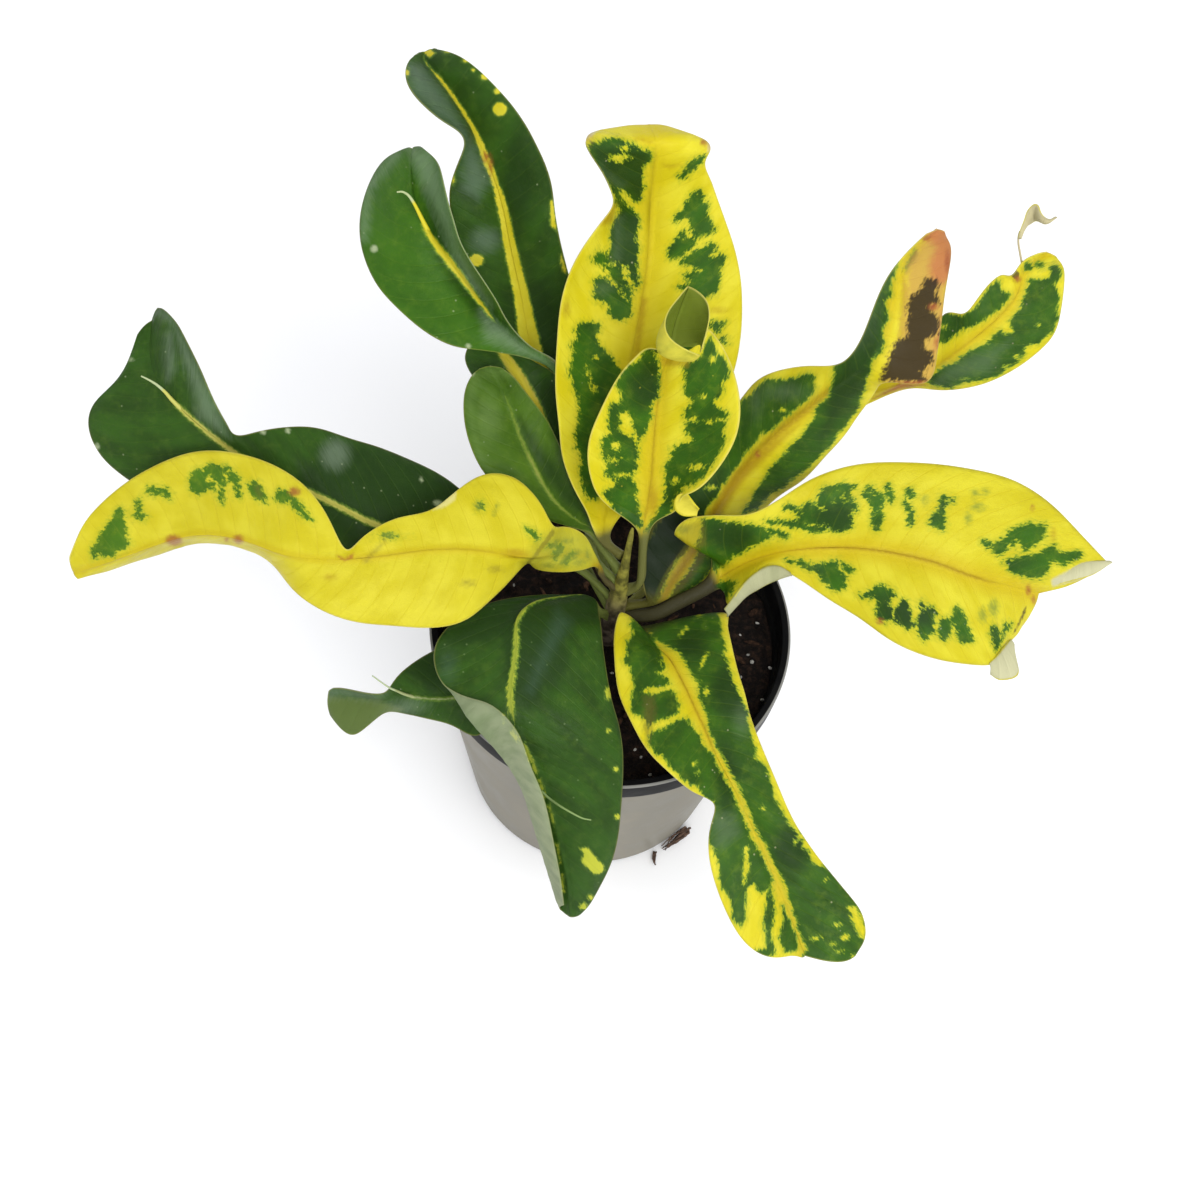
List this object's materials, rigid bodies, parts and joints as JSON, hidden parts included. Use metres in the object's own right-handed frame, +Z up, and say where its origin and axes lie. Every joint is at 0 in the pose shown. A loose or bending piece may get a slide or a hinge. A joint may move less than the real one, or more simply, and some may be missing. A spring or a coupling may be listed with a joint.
{
  "type": "potted croton",
  "caption": "Potted croton house plant: long, twisted yellow and green leaves on a short woody stem, in a round tapered nursery pot with soil.",
  "frame": {"origin": "centre of the pot's flat base, where it stands on a surface", "axes": "+Z up the pot's axis; +X to the right and +Y away from the viewer, in the view with the overhanging leaves in front"},
  "size_m": [0.32, 0.2064, 0.2395],
  "materials": {
    "pot_plastic": "smooth injection-moulded plastic, warm grey wall, black rim and inside, a little dusty",
    "potting_mix": "loose dark brown peat and bark with a few white grains",
    "bark": "thin olive brown bark with leaf scars",
    "leaf_yellow": "waxy yellow leaf with deep green blotches and a golden midrib",
    "leaf_margined": "waxy green leaf with a yellow midrib and yellow margins",
    "leaf_dark": "waxy dark green leaf with a thin yellow midrib and a soft grey sheen",
    "leaf_mid_green": "waxy mid green leaf with a pale midrib",
    "dried_root": "dry fibrous brown"
  },
  "bodies": {
    "root": {"pot": "pot_plastic", "soil": "potting_mix", "stem": "bark", "leaf_tall_yellow": "leaf_yellow", "leaf_front_centre": "leaf_yellow", "leaf_left_yellow": "leaf_yellow", "leaf_right_yellow": "leaf_yellow", "leaf_upper_right": "leaf_margined", "leaf_far_right": "leaf_margined", "leaf_front_right": "leaf_margined", "leaf_back_left_tall": "leaf_dark", "leaf_far_left_dark": "leaf_dark", "leaf_low_left_dark": "leaf_dark", "leaf_front_left_dark": "leaf_dark", "leaf_behind_left": "leaf_dark", "leaf_back_left_broad": "leaf_mid_green", "leaf_mid_left": "leaf_mid_green", "root_scrap": "dried_root", "root_tip": "dried_root"}
  },
  "joints": []
}
